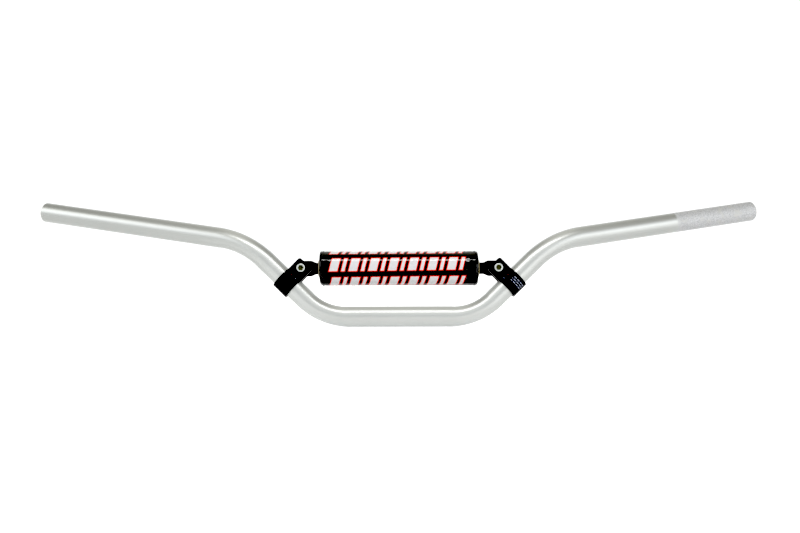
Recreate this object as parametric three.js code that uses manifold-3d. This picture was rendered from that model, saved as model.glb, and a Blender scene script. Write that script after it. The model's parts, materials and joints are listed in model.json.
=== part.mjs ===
// Motorcycle handlebar with a braced crossbar and a wrapped foam pad.
// Millimetres. +X runs along the bar to the rider's left, +Y towards the rider, +Z up.
// The origin is the centre of the straight section that the machine's bar clamps hold.
import * as THREE from "three";
import { mergeVertices } from "three/addons/utils/BufferGeometryUtils.js";
import Module from "manifold-3d";

const wasm = await Module();
wasm.setup();

const radians = THREE.MathUtils.degToRad;
const TURN = 2 * Math.PI;
const SIDES = { left: 1, right: -1 }; // the rider's left hand is on +X

// Air left between two pieces that touch.
const FIT_GAP = 0.3;

// Bar tube: a straight centre, two arms and two grips, joined by bends.
const TUBE_RADIUS = 11.1;
const TUBE_BORE_RADIUS = 7;
const TUBE_END_CHAMFER = 1.6;
const CENTRE_HALF_LENGTH = 83.5;
const ARM_LENGTH = 118.5;
const ARM_RISE = radians(44.2);
const ARM_LEAN = radians(5);
const GRIP_LENGTH = 255.3;
const GRIP_RISE = radians(8.2);
const GRIP_SWEEP = radians(14);
const LOWER_BEND_RADIUS = 66;
const UPPER_BEND_RADIUS = 93;
const BEND_STEPS = 8;
const TUBE_SIDES = 24;
const TUBE_BORE_SIDES = 16;

// Crossbar: a round tube whose two ends are pressed flat and drilled.
const CROSSBAR_HEIGHT = 52.5;
const CROSSBAR_RADIUS = 6.25;
const CROSSBAR_WALL = 2.2;
const CROSSBAR_SIDES = 24;
const FLAT_THICKNESS = 5;
const FLAT_HEIGHT = 17;
const FLAT_SLIT = 0.6;
const FLAT_START = 97.5;
const ROUND_END = 90.4;
const FLATTENING_STEPS = 5;
const BOLT_HOLE_RADIUS = 3.4;

// Crossbar clamp: a split band round the arm with two ears.
const CLAMP_WIDTH = 19;
const BAND_WALL = 2.1;
const BAND_STEPS = 22;
const EAR_THICKNESS = 4.2;
const EAR_REACH = 28.5;
const EAR_CORNER_RADIUS = 2.6;
const BOLT_OFFSET = 21.2;

// M6 fasteners.
const SHANK_RADIUS = 3;
const SHANK_LENGTH = 25;
const HEAD_RADIUS = 5;
const HEAD_HEIGHT = 6;
const HEAD_CHAMFER = 0.5;
const SOCKET_ACROSS_FLATS = 5;
const SOCKET_DEPTH = 3.2;
const WASHER_RADIUS = 6;
const WASHER_THICKNESS = 1.6;
const NUT_ACROSS_FLATS = 10;
const NUT_HEX_HEIGHT = 4.6;
const NUT_HEIGHT = 6.4;
const NUT_COLLAR_RADIUS = 4.85;
const NUT_POCKET_RADIUS = 4.4;
const NUT_LIP_RADIUS = 3.8;
const INSERT_THICKNESS = 0.9;
const FASTENER_STEPS = 20;

// Pad: a slit foam core in a wrapped cover, shut by hook and loop strips behind.
const PAD_CENTRE_X = -1;
const FOAM_LENGTH = 177.6;
const FOAM_SLIT = 1;
const COVER_LENGTH = 171.6;
const COVER_INNER_RADIUS = 17.6;
const COVER_THICKNESS = 1.1;
const FLAP_INNER_RADIUS = 18.7;
const STRIP_THICKNESS = 0.5;
const STRIP_LENGTH = 164;
const STRIP_MARGIN = radians(8);
const CLOSURE_DIRECTION = radians(-12);
const CLOSURE_SPREAD = radians(28);
const WRAP_RAMP = radians(30);
const WRAP_STEP = radians(7);
const THREAD_RADIUS = 0.3;
const THREAD_INSET = 3.4;
const THREAD_STEPS = 46;
const THREAD_SIDES = 6;

const clampBoreRadius = TUBE_RADIUS + FIT_GAP;
const bandRadius = clampBoreRadius + BAND_WALL;
const earGap = FLAT_THICKNESS / 2 + FIT_GAP;
const earFace = earGap + EAR_THICKNESS;
const boltX = CENTRE_HALF_LENGTH
  + (CROSSBAR_HEIGHT * Math.cos(ARM_RISE) - BOLT_OFFSET) / Math.sin(ARM_RISE);
const wrapEnd = TURN + 2 * CLOSURE_SPREAD;
const wrapStart = CLOSURE_DIRECTION - CLOSURE_SPREAD;
const innerFlapRadius = FLAP_INNER_RADIUS - COVER_THICKNESS - 2 * STRIP_THICKNESS - 3 * FIT_GAP;

function material(color, roughness, metalness) {
  return new THREE.MeshStandardMaterial({ color, roughness, metalness });
}

const materials = {
  anodisedSilver: material(0xc4c4c0, 0.38, 1),
  blackAluminium: material(0x101011, 0.42, 0.6),
  brightSteel: material(0xc9cdcb, 0.3, 1),
  nylon: material(0x2f5fa8, 0.5, 0),
  foam: material(0x8a8059, 0.9, 0),
  vinyl: material(0x0b0b0c, 0.22, 0),
  fastener: material(0x161617, 0.95, 0),
  thread: material(0x1c1c1d, 0.8, 0),
};

// --- geometry helpers ---

function ease(t) {
  return THREE.MathUtils.smoothstep(t, 0, 1);
}

// Points on an arc round the origin; angle 0 is the first axis of the plane.
function arc(radius, from, to, steps) {
  return Array.from({ length: steps + 1 }, (_, i) => {
    const angle = from + ((to - from) * i) / steps;
    return new THREE.Vector2(radius * Math.cos(angle), radius * Math.sin(angle));
  });
}

function circle(radius, steps) {
  return arc(radius, 0, TURN, steps).slice(0, -1);
}

// A rectangle from (-halfWidth, low) to (halfWidth, high) with rounded upper corners.
function roundedTab(halfWidth, low, high, radius, steps) {
  const corner = (x, from) => arc(radius, from, from + TURN / 4, steps)
    .map((p) => p.add(new THREE.Vector2(x, high - radius)));
  return [
    new THREE.Vector2(-halfWidth, low),
    new THREE.Vector2(halfWidth, low),
    ...corner(halfWidth - radius, 0),
    ...corner(radius - halfWidth, TURN / 4),
  ];
}

function shapeOf(outline, ...holes) {
  const shape = new THREE.Shape(outline);
  holes.forEach((hole) => shape.holes.push(new THREE.Path(hole)));
  return shape;
}

// Extrudes a shape drawn in two axes along a third, centred on the origin.
function extrude(shape, length, horizontal, vertical) {
  const along = new THREE.Vector3().crossVectors(horizontal, vertical);
  return new THREE.ExtrudeGeometry(shape, { depth: length, bevelEnabled: false })
    .translate(0, 0, -length / 2)
    .applyMatrix4(new THREE.Matrix4().makeBasis(horizontal, vertical, along));
}

const X = new THREE.Vector3(1, 0, 0);
const Y = new THREE.Vector3(0, 1, 0);
const Z = new THREE.Vector3(0, 0, 1);
const extrudeAlongX = (shape, length) => extrude(shape, length, Y, Z);
const extrudeAlongY = (shape, length) => extrude(shape, length, X, Z);

// Turns [radius, height] pairs round the Y axis; a profile may close on itself or on the axis.
function turned(profile, steps = FASTENER_STEPS) {
  return new THREE.LatheGeometry(profile.map(([r, y]) => new THREE.Vector2(r, y)), steps);
}

function hexPrism(acrossFlats, height) {
  return new THREE.CylinderGeometry(acrossFlats / Math.sqrt(3), acrossFlats / Math.sqrt(3), height, 6);
}

function toSolid(geometry) {
  const bare = new THREE.BufferGeometry().setAttribute("position", geometry.attributes.position);
  if (geometry.index) bare.setIndex(geometry.index);
  const merged = mergeVertices(bare, 1e-4);
  return new wasm.Manifold(new wasm.Mesh({
    numProp: 3,
    vertProperties: new Float32Array(merged.attributes.position.array),
    triVerts: new Uint32Array(merged.index.array),
  }));
}

function toGeometry(solid) {
  const { vertProperties, triVerts } = solid.getMesh();
  const geometry = new THREE.BufferGeometry();
  geometry.setAttribute("position", new THREE.BufferAttribute(vertProperties, 3));
  geometry.setIndex(new THREE.BufferAttribute(triVerts, 1));
  geometry.computeVertexNormals();
  return geometry;
}

function moveVertices(geometry, move) {
  const positions = geometry.attributes.position;
  const point = new THREE.Vector3();
  for (let i = 0; i < positions.count; i += 1) {
    move(point.fromBufferAttribute(positions, i));
    positions.setXYZ(i, point.x, point.y, point.z);
  }
  geometry.computeVertexNormals();
  return geometry;
}

// A sweep path that an ExtrudeGeometry samples only at its own stations.
class StationPath extends THREE.Curve {
  constructor(stations) {
    super();
    this.stations = stations;
  }

  station(u) {
    return this.stations[Math.round(u * (this.stations.length - 1))];
  }

  getPointAt(u) {
    return this.station(u).point.clone();
  }

  getTangentAt(u) {
    return this.station(u).tangent.clone();
  }
}

function sweep(outline, holes, stations) {
  return new THREE.ExtrudeGeometry(shapeOf(outline, ...holes), {
    extrudePath: new StationPath(stations),
    steps: stations.length - 1,
  });
}

// --- bar tube ---

// Stations along the circular bend that rounds a corner between two straight runs.
function bendStations(before, corner, after, radius) {
  const arriving = corner.clone().sub(before).normalize();
  const leaving = after.clone().sub(corner).normalize();
  const bend = arriving.angleTo(leaving);
  const cut = radius * Math.tan(bend / 2);
  const start = corner.clone().addScaledVector(arriving, -cut);
  const axis = arriving.clone().cross(leaving).normalize();
  const toCentre = axis.clone().cross(arriving).multiplyScalar(radius);
  const centre = start.clone().add(toCentre);
  return Array.from({ length: BEND_STEPS + 1 }, (_, i) => {
    const turn = (bend * i) / BEND_STEPS;
    return {
      point: toCentre.clone().negate().applyAxisAngle(axis, turn).add(centre),
      tangent: arriving.clone().applyAxisAngle(axis, turn),
    };
  });
}

// Stations of the tube's centre line from one tip to the other.
function tubeStations() {
  const arm = new THREE.Vector3(
    Math.cos(ARM_RISE),
    Math.sin(ARM_RISE) * Math.sin(ARM_LEAN),
    Math.sin(ARM_RISE) * Math.cos(ARM_LEAN),
  );
  const grip = new THREE.Vector3(
    Math.cos(GRIP_RISE) * Math.cos(GRIP_SWEEP),
    Math.cos(GRIP_RISE) * Math.sin(GRIP_SWEEP),
    Math.sin(GRIP_RISE),
  );
  const middle = new THREE.Vector3();
  const lower = new THREE.Vector3(CENTRE_HALF_LENGTH, 0, 0);
  const upper = lower.clone().addScaledVector(arm, ARM_LENGTH);
  const tip = upper.clone().addScaledVector(grip, GRIP_LENGTH);
  const chamferEnd = tip.clone().addScaledVector(grip, -TUBE_END_CHAMFER);
  const half = [
    ...bendStations(middle, lower, upper, LOWER_BEND_RADIUS),
    ...bendStations(lower, upper, tip, UPPER_BEND_RADIUS),
    { point: chamferEnd, tangent: grip },
    { point: tip, tangent: grip },
  ];
  const mirrored = half.map(({ point, tangent }) => ({
    point: new THREE.Vector3(-point.x, point.y, point.z),
    tangent: new THREE.Vector3(tangent.x, -tangent.y, -tangent.z),
  }));
  return [...mirrored.reverse(), ...half];
}

function barTube() {
  const stations = tubeStations();
  const tips = [stations[0].point, stations.at(-1).point];
  const tube = sweep(circle(TUBE_RADIUS, TUBE_SIDES), [circle(TUBE_BORE_RADIUS, TUBE_BORE_SIDES)], stations);
  // The outer rim of each end is drawn in to make the chamfer.
  return moveVertices(tube, (point) => {
    const tip = tips.find((end) => Math.abs(end.distanceTo(point) - TUBE_RADIUS) < 0.01);
    if (tip) point.lerp(tip, TUBE_END_CHAMFER / TUBE_RADIUS);
  });
}

// --- crossbar ---

// A point on a slot-shaped outline, at the share of its length that the angle is of a full turn.
function slotPoint(angle, halfThickness, halfHeight) {
  const folded = Math.atan2(Math.abs(Math.sin(angle)), Math.abs(Math.cos(angle)));
  const straight = halfHeight - halfThickness;
  const along = (folded / (TURN / 4)) * (straight + (TURN / 4) * halfThickness);
  const roundTurn = Math.max(0, along - straight) / halfThickness;
  return {
    y: Math.sign(Math.cos(angle)) * halfThickness * Math.cos(roundTurn),
    z: Math.sign(Math.sin(angle)) * (Math.min(along, straight) + halfThickness * Math.sin(roundTurn)),
  };
}

function crossbarStations(endX) {
  const half = [0];
  for (let i = 0; i <= FLATTENING_STEPS; i += 1) {
    half.push(ROUND_END + ((FLAT_START - ROUND_END) * i) / FLATTENING_STEPS);
  }
  half.push(endX);
  const places = [...half.slice(1).reverse().map((x) => -x), ...half];
  return places.map((x) => ({ point: new THREE.Vector3(x, 0, 0), tangent: X }));
}

// Presses the ends of the round tube flat; its bore becomes a thin slit there.
function pressFlat(point) {
  const pressed = ease((Math.abs(point.x) - ROUND_END) / (FLAT_START - ROUND_END));
  const radius = Math.hypot(point.y, point.z);
  const outside = radius > CROSSBAR_RADIUS - CROSSBAR_WALL / 2;
  const wall = outside ? 0 : CROSSBAR_WALL;
  const flat = slotPoint(
    Math.atan2(point.z, point.y),
    outside ? FLAT_THICKNESS / 2 : FLAT_SLIT / 2,
    FLAT_HEIGHT / 2 - wall,
  );
  point.y = THREE.MathUtils.lerp(point.y, flat.y, pressed);
  point.z = THREE.MathUtils.lerp(point.z, flat.z, pressed);
}

function boltHole(x, z, length) {
  return toSolid(extrudeAlongY(shapeOf(circle(BOLT_HOLE_RADIUS, 16)), length).translate(x, 0, z));
}

function crossbar() {
  const endRadius = FLAT_HEIGHT / 2;
  const endX = boltX + endRadius;
  const tube = sweep(
    circle(CROSSBAR_RADIUS, CROSSBAR_SIDES),
    [circle(CROSSBAR_RADIUS - CROSSBAR_WALL, CROSSBAR_SIDES)],
    crossbarStations(endX + 1),
  );
  const ends = [1, -1].flatMap((side) => arc(endRadius + 0.01, -side * TURN / 4, side * TURN / 4, 12)
    .map((p) => new THREE.Vector2(side * (boltX + p.x), p.y)));
  const roundEnded = toSolid(moveVertices(tube, pressFlat))
    .intersect(toSolid(extrudeAlongY(shapeOf(ends), 4 * CROSSBAR_RADIUS)));
  const drilled = Object.values(SIDES).reduce(
    (bar, side) => bar.subtract(boltHole(side * boltX, 0, 4 * CROSSBAR_RADIUS)),
    roundEnded,
  );
  return toGeometry(drilled);
}

// --- crossbar clamps ---

// The split band and its two ears, seen along the arm: Y is the screw's direction, Z points out
// along the ears.
function clampSection() {
  const boreMeets = Math.asin(earGap / clampBoreRadius);
  const bandMeets = Math.asin(earFace / bandRadius);
  const zAxis = TURN / 4;
  return [
    new THREE.Vector2(earFace, EAR_REACH),
    new THREE.Vector2(earGap, EAR_REACH),
    ...arc(clampBoreRadius, zAxis - boreMeets, zAxis + boreMeets - TURN, BAND_STEPS),
    new THREE.Vector2(-earGap, EAR_REACH),
    new THREE.Vector2(-earFace, EAR_REACH),
    ...arc(bandRadius, zAxis + bandMeets, zAxis - bandMeets + TURN, BAND_STEPS),
  ];
}

function clamp() {
  const section = toSolid(extrudeAlongX(shapeOf(clampSection()), CLAMP_WIDTH));
  const front = shapeOf(roundedTab(CLAMP_WIDTH / 2, -EAR_REACH, EAR_REACH, EAR_CORNER_RADIUS, 4));
  return toGeometry(
    section
      .intersect(toSolid(extrudeAlongY(front, 4 * bandRadius)))
      .subtract(boltHole(0, BOLT_OFFSET, 4 * bandRadius)),
  );
}

// --- fasteners, each turned round Y with its seat at y = 0 ---

function screw() {
  const body = toSolid(turned([
    [0, -HEAD_HEIGHT],
    [HEAD_RADIUS - HEAD_CHAMFER, -HEAD_HEIGHT],
    [HEAD_RADIUS, HEAD_CHAMFER - HEAD_HEIGHT],
    [HEAD_RADIUS, 0],
    [SHANK_RADIUS, 0],
    [SHANK_RADIUS, SHANK_LENGTH - HEAD_CHAMFER],
    [SHANK_RADIUS - HEAD_CHAMFER, SHANK_LENGTH],
    [0, SHANK_LENGTH],
  ]));
  const socket = hexPrism(SOCKET_ACROSS_FLATS, 2 * SOCKET_DEPTH).translate(0, -HEAD_HEIGHT, 0);
  return toGeometry(body.subtract(toSolid(socket)));
}

function washer() {
  return turned([
    [BOLT_HOLE_RADIUS, 0],
    [WASHER_RADIUS, 0],
    [WASHER_RADIUS, WASHER_THICKNESS],
    [BOLT_HOLE_RADIUS, WASHER_THICKNESS],
    [BOLT_HOLE_RADIUS, 0],
  ]);
}

// A hexagon nut with a round collar that traps the nylon locking ring.
function lockNut() {
  const corner = NUT_ACROSS_FLATS / Math.sqrt(3);
  const blunted = NUT_ACROSS_FLATS / 2 - 0.1;
  const chamfer = corner - blunted;
  const pocketEnd = NUT_HEX_HEIGHT + INSERT_THICKNESS + FIT_GAP;
  const blank = turned([
    [BOLT_HOLE_RADIUS, 0],
    [blunted, 0],
    [corner, chamfer],
    [corner, NUT_HEX_HEIGHT - chamfer],
    [NUT_COLLAR_RADIUS, NUT_HEX_HEIGHT],
    [NUT_COLLAR_RADIUS, pocketEnd],
    [NUT_LIP_RADIUS + 0.4, NUT_HEIGHT],
    [NUT_LIP_RADIUS, NUT_HEIGHT],
    [NUT_LIP_RADIUS, pocketEnd],
    [NUT_POCKET_RADIUS, pocketEnd],
    [NUT_POCKET_RADIUS, NUT_HEX_HEIGHT - FIT_GAP],
    [BOLT_HOLE_RADIUS, NUT_HEX_HEIGHT - FIT_GAP],
    [BOLT_HOLE_RADIUS, 0],
  ], 36);
  return toGeometry(toSolid(blank).intersect(toSolid(hexPrism(NUT_ACROSS_FLATS, 4 * NUT_HEIGHT))));
}

function lockRing() {
  const outer = NUT_POCKET_RADIUS - FIT_GAP;
  return turned([
    [BOLT_HOLE_RADIUS, 0],
    [outer, 0],
    [outer, INSERT_THICKNESS],
    [BOLT_HOLE_RADIUS, INSERT_THICKNESS],
    [BOLT_HOLE_RADIUS, 0],
  ]);
}

// --- pad ---

// The cover's inner radius as it winds from its inner flap's edge to its outer flap's edge.
function wrapRadius(wound) {
  const leaveFlap = ease((wound - 2 * CLOSURE_SPREAD) / WRAP_RAMP);
  const climb = ease((wound - TURN + WRAP_RAMP) / WRAP_RAMP);
  return innerFlapRadius
    + leaveFlap * (COVER_INNER_RADIUS - innerFlapRadius)
    + climb * (FLAP_INNER_RADIUS - COVER_INNER_RADIUS);
}

function wrapPoints(offset, from, to) {
  const steps = Math.round((to - from) / WRAP_STEP);
  return Array.from({ length: steps + 1 }, (_, i) => {
    const wound = from + ((to - from) * i) / steps;
    return arc(wrapRadius(wound) + offset, wrapStart + wound, wrapStart + wound, 1)[0];
  });
}

function padCover() {
  const outline = [...wrapPoints(COVER_THICKNESS, 0, wrapEnd), ...wrapPoints(0, 0, wrapEnd).reverse()];
  return extrudeAlongX(shapeOf(outline), COVER_LENGTH);
}

// The foam fills the cover; it is stepped under the closure and slit there down to its bore.
function padFoam() {
  const boreRadius = CROSSBAR_RADIUS + 1.3 * FIT_GAP;
  const flapEdge = 1.5 * FIT_GAP / innerFlapRadius;
  const slitHalfAngle = (radius) => Math.asin(FOAM_SLIT / 2 / radius);
  const outerSlit = slitHalfAngle(innerFlapRadius - FIT_GAP);
  const boreSlit = slitHalfAngle(boreRadius);
  const climbStart = TURN - WRAP_RAMP;
  const outline = [
    ...wrapPoints(-FIT_GAP, CLOSURE_SPREAD + outerSlit, climbStart),
    ...arc(COVER_INNER_RADIUS - FIT_GAP, wrapStart + climbStart, wrapStart + TURN - flapEdge, 4).slice(1),
    ...arc(innerFlapRadius - FIT_GAP, wrapStart - flapEdge, CLOSURE_DIRECTION - outerSlit, 4),
    ...arc(boreRadius, CLOSURE_DIRECTION - boreSlit, CLOSURE_DIRECTION + boreSlit - TURN, 24),
  ];
  return extrudeAlongX(shapeOf(outline), FOAM_LENGTH);
}

// A strip of the closure, between the cover's two flaps.
function closureStrip(innerRadius) {
  const from = wrapStart + STRIP_MARGIN;
  const to = wrapStart + 2 * CLOSURE_SPREAD - STRIP_MARGIN;
  const outline = [
    ...arc(innerRadius + STRIP_THICKNESS, from, to, 6),
    ...arc(innerRadius, to, from, 6),
  ];
  return extrudeAlongX(shapeOf(outline), STRIP_LENGTH);
}

// The sewing thread of one hem, wound on the cover from its inner flap to its outer flap's edge.
function hemThread() {
  const from = 2 * CLOSURE_SPREAD + radians(6);
  const lift = COVER_THICKNESS + FIT_GAP + THREAD_RADIUS;
  const pointAt = (wound) => {
    const { x, y } = arc(wrapRadius(wound) + lift, wrapStart + wound, wrapStart + wound, 1)[0];
    return new THREE.Vector3(0, x, y);
  };
  const nudge = radians(0.1);
  const stations = Array.from({ length: THREAD_STEPS + 1 }, (_, i) => {
    const wound = from + ((wrapEnd - radians(4) - from) * i) / THREAD_STEPS;
    return {
      point: pointAt(wound),
      tangent: pointAt(wound + nudge).sub(pointAt(wound - nudge)).normalize(),
    };
  });
  return sweep(circle(THREAD_RADIUS, THREAD_SIDES), [], stations);
}

// --- assembly ---

function part(name, geometry, surface, place = {}) {
  const mesh = new THREE.Mesh(geometry, surface.clone());
  mesh.name = name;
  mesh.position.set(place.x ?? 0, place.y ?? 0, place.z ?? 0);
  mesh.rotation.y = place.turn ?? 0;
  return mesh;
}

// One clamp with its screw, washer, nut and locking ring.
function clampParts(name, side) {
  const screwSeat = -earFace - FIT_GAP;
  const washerSeat = earFace + FIT_GAP;
  const nutSeat = washerSeat + WASHER_THICKNESS + FIT_GAP;
  const onBolt = (y) => ({ x: side * boltX, y, z: CROSSBAR_HEIGHT });
  const onArm = {
    x: side * (boltX + BOLT_OFFSET * Math.sin(ARM_RISE)),
    z: CROSSBAR_HEIGHT - BOLT_OFFSET * Math.cos(ARM_RISE),
    turn: -side * ARM_RISE,
  };
  return [
    part(`clamp_${name}`, clamp(), materials.blackAluminium, onArm),
    part(`clamp_screw_${name}`, screw(), materials.brightSteel, onBolt(screwSeat)),
    part(`clamp_washer_${name}`, washer(), materials.brightSteel, onBolt(washerSeat)),
    part(`clamp_nut_${name}`, lockNut(), materials.brightSteel, onBolt(nutSeat)),
    part(`nut_lock_ring_${name}`, lockRing(), materials.nylon, onBolt(nutSeat + NUT_HEX_HEIGHT)),
  ];
}

function padParts() {
  const middle = { x: PAD_CENTRE_X, z: CROSSBAR_HEIGHT };
  const hookRadius = FLAP_INNER_RADIUS - FIT_GAP - STRIP_THICKNESS;
  const loopRadius = hookRadius - FIT_GAP - STRIP_THICKNESS;
  const hemX = COVER_LENGTH / 2 - THREAD_INSET;
  return [
    part("pad_foam", padFoam(), materials.foam, middle),
    part("pad_cover", padCover(), materials.vinyl, middle),
    part("pad_hook_strip", closureStrip(hookRadius), materials.fastener, middle),
    part("pad_loop_strip", closureStrip(loopRadius), materials.fastener, middle),
    ...Object.entries(SIDES).map(([name, side]) => part(
      `hem_thread_${name}`,
      hemThread(),
      materials.thread,
      { ...middle, x: PAD_CENTRE_X + side * hemX },
    )),
  ];
}

// The arms, crossbar, clamps and pad share one plane that leans back with the arms.
const bracePlane = new THREE.Group();
bracePlane.rotation.x = -ARM_LEAN;
bracePlane.add(part("crossbar", crossbar(), materials.blackAluminium, { z: CROSSBAR_HEIGHT }));
Object.entries(SIDES).forEach(([name, side]) => bracePlane.add(...clampParts(name, side)));
bracePlane.add(...padParts());

const handlebar = new THREE.Group();
handlebar.add(part("bar_tube", barTube(), materials.anodisedSilver), bracePlane);

export default handlebar;
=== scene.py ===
"""Visual model of the motorcycle handlebar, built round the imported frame. Lengths are in metres."""
import json
import math

import bmesh
import bpy
import numpy as np
from mathutils import Matrix, Vector, noise

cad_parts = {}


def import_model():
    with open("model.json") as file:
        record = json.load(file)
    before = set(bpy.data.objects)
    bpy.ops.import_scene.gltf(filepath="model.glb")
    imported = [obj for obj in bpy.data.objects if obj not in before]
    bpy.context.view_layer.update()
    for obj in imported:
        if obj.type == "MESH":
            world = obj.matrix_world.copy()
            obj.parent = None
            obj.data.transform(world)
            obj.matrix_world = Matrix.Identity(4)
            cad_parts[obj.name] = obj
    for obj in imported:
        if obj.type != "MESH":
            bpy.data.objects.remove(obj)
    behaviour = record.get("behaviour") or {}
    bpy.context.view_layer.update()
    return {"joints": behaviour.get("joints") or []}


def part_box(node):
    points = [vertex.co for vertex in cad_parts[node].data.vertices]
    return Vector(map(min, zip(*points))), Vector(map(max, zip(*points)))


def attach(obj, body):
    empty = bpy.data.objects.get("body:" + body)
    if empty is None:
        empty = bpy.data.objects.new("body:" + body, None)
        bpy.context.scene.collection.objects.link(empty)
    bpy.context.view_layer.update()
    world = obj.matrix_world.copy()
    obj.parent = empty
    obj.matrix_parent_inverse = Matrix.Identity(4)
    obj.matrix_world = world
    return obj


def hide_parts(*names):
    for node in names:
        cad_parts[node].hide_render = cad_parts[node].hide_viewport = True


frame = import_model()

MM = 0.001
TURN = 2 * math.pi
QUARTER = math.pi / 2
SEED = 7
SHARP_DEGREES = 35

# The brace plane, which holds the arms, the crossbar and the pad, leans back about the X axis.
pad_axis = Vector(frame["joints"][0]["pos_m"])
LEAN = math.atan2(pad_axis.y, pad_axis.z)
CROSSBAR_HEIGHT = math.hypot(pad_axis.y, pad_axis.z)
BRACE = np.array(Matrix.Rotation(-LEAN, 3, "X"))
PAD_X = pad_axis.x

# Bar tube, as in the CAD.
TUBE_RADIUS = 11.1 * MM
BORE_RADIUS = 7 * MM
END_CHAMFER = 1.6 * MM
CENTRE_HALF = 83.5 * MM
ARM_LENGTH = 118.5 * MM
ARM_RISE = math.radians(44.2)
GRIP_LENGTH = 255.3 * MM
GRIP_RISE = math.radians(8.2)
GRIP_SWEEP = math.radians(14)
LOWER_BEND = 66 * MM
UPPER_BEND = 93 * MM
ROUGH_LENGTH = 105.2 * MM

# Clamps and screws.
BAND_RADIUS = 13.5 * MM
EAR_FACE = 7 * MM
EAR_REACH = 28.5 * MM
EAR_CORNER = 2.6 * MM
CLAMP_HALF_WIDTH = 9.5 * MM
BOLT_OFFSET = 21.2 * MM
BOLT_X = sum(corner.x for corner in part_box("clamp_screw_left")) / 2
WASHER_THICKNESS = 1.6 * MM

# Crossbar.
CROSSBAR_RADIUS = 6.25 * MM
FLAT_HALF_THICKNESS = 2.5 * MM
FLAT_HALF_HEIGHT = 8.5 * MM
FLAT_START = 97.5 * MM
ROUND_END = 90.4 * MM

# Pad.
FOAM_LOW_X, FOAM_HIGH_X = (corner.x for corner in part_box("pad_foam"))
COVER_LOW_X, COVER_HIGH_X = (corner.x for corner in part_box("pad_cover"))
COVER_INNER = 17.6 * MM
COVER_THICKNESS = 1.1 * MM
FLAP_LIFT = 1.1 * MM
FLAP_SINK = 1.9 * MM
CLOSURE_ANGLE = math.radians(-12)
CLOSURE_SPREAD = math.radians(28)
WRAP_RAMP = math.radians(30)
HEM_WIDTH = 3.4 * MM


# --- meshes ---

def in_brace_plane(points):
    """Turns points (x, y, height) of the upright brace plane into the row frame."""
    return np.asarray(points) @ BRACE.T


def new_mesh(name, points, faces):
    mesh = bpy.data.meshes.new(name)
    mesh.from_pydata(np.asarray(points).tolist(), [], faces)
    return mesh


def add_object(name, data):
    """Puts a new object in the scene."""
    thing = bpy.data.objects.new(name, data)
    bpy.context.scene.collection.objects.link(thing)
    return thing


def piece(name, points, faces, body, node, surfaces, uvs=None, sharp=SHARP_DEGREES):
    """Makes a smooth closed mesh piece, facing out, that rides on a body in place of a CAD node."""
    mesh = new_mesh(name, points, faces)
    if uvs is not None:
        layer = mesh.uv_layers.new(name="surface")
        layer.data.foreach_set("uv", np.concatenate([np.asarray(face) for face in uvs]).ravel())
    tidy = bmesh.new()
    tidy.from_mesh(mesh)
    bmesh.ops.recalc_face_normals(tidy, faces=tidy.faces)
    tidy.to_mesh(mesh)
    tidy.free()
    mesh.polygons.foreach_set("use_smooth", [True] * len(mesh.polygons))
    mesh.set_sharp_from_angle(angle=math.radians(sharp))
    for surface in surfaces:
        mesh.materials.append(surface)
    thing = add_object(name, mesh)
    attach(thing, body)
    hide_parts(node)
    return thing


def loft(rings, along=None, around=None, closed=False):
    """Skins a stack of closed rings; the ends are capped, or joined when closed is true.

    along has one length per ring and around one per point and one more for the seam.
    """
    rows, count = len(rings), len(rings[0])
    points = np.concatenate(rings)
    faces, uvs = [], []
    along = np.zeros(rows + 1) if along is None else np.append(along, along[-1])
    around = np.linspace(0, 1, count + 1) if around is None else around
    for row in range(rows if closed else rows - 1):
        after = (row + 1) % rows
        for k in range(count):
            side = (k + 1) % count
            faces.append((row * count + k, row * count + side, after * count + side, after * count + k))
            low, high = along[row], along[row + 1]
            uvs.append([(low, around[k]), (low, around[k + 1]), (high, around[k + 1]), (high, around[k])])
    if not closed:
        for row in (0, rows - 1):
            faces.append(tuple(row * count + k for k in range(count)))
            uvs.append([(along[row], 0)] * count)
    return points, faces, uvs


def circle(count, across, up):
    """Unit directions all round, in the plane of two cross directions."""
    angles = np.linspace(0, TURN, count, endpoint=False)
    return np.outer(np.cos(angles), across) + np.outer(np.sin(angles), up)


def lengths_along(points):
    """The length of a line of points up to each of them."""
    return np.append(0, np.cumsum(np.linalg.norm(np.diff(points, axis=0), axis=1)))


def cut(thing, cutter):
    """Cuts one piece with another, which is used up."""
    modifier = thing.modifiers.new("cut", "BOOLEAN")
    modifier.object = cutter
    modifier.solver = "EXACT"
    bpy.context.view_layer.update()
    cut_mesh = bpy.data.meshes.new_from_object(
        thing.evaluated_get(bpy.context.evaluated_depsgraph_get()))
    thing.modifiers.clear()
    cut_mesh.set_sharp_from_angle(angle=math.radians(SHARP_DEGREES))
    thing.data = cut_mesh
    bpy.data.objects.remove(cutter)


def round_rod(radius, start, end, count=32):
    """A plain rod between two points, used as a cutter."""
    axis = Vector(end - start).normalized()
    side = np.array(axis.orthogonal().normalized())
    ring = radius * circle(count, side, np.cross(np.array(axis), side))
    points, faces, _ = loft([ring + start, ring + end])
    return add_object("cutter", new_mesh("cutter", points, faces))


def ease(t):
    """0 up to 0 and 1 from 1 on, with a smooth rise between."""
    t = np.clip(t, 0, 1)
    return t * t * (3 - 2 * t)


# --- shader graphs ---

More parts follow.
